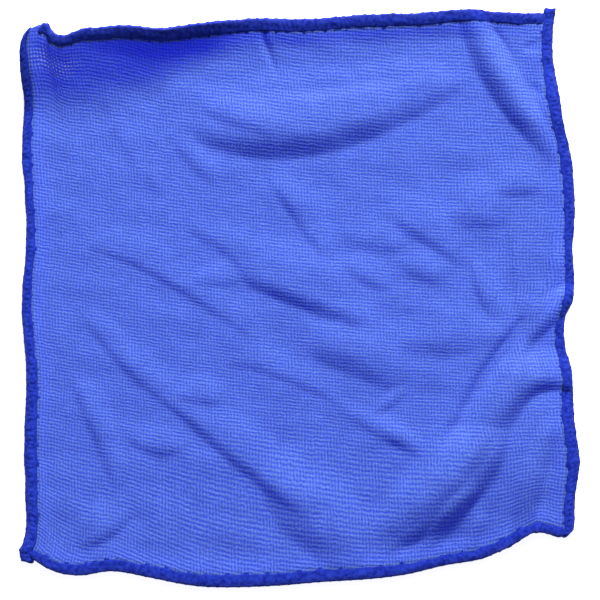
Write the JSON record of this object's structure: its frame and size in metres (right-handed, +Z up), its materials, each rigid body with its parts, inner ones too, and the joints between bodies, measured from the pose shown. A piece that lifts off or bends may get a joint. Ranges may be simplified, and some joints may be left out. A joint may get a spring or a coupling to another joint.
{
  "type": "microfibre cleaning cloth",
  "caption": "Square knitted microfibre cleaning cloth with overlocked edges, lying loose with soft creases, one corner curled up; for wiping and polishing.",
  "frame": {"origin": "middle of the cloth's own box seen from above, on the surface it lies on", "axes": "+Z up from the surface, +X to the right and +Y to the back edge, where one corner curls up"},
  "size_m": [0.255, 0.264, 0.017],
  "materials": {
    "knit": "soft fine warp knit with a silky sheen, royal blue",
    "edging_thread": "dense overlock stitching in fluffy textured thread, darker royal blue"
  },
  "bodies": {
    "root": {"cloth_panel": "knit", "edging_left": "edging_thread", "edging_right": "edging_thread", "edging_back": "edging_thread", "edging_front": "edging_thread"}
  },
  "joints": []
}
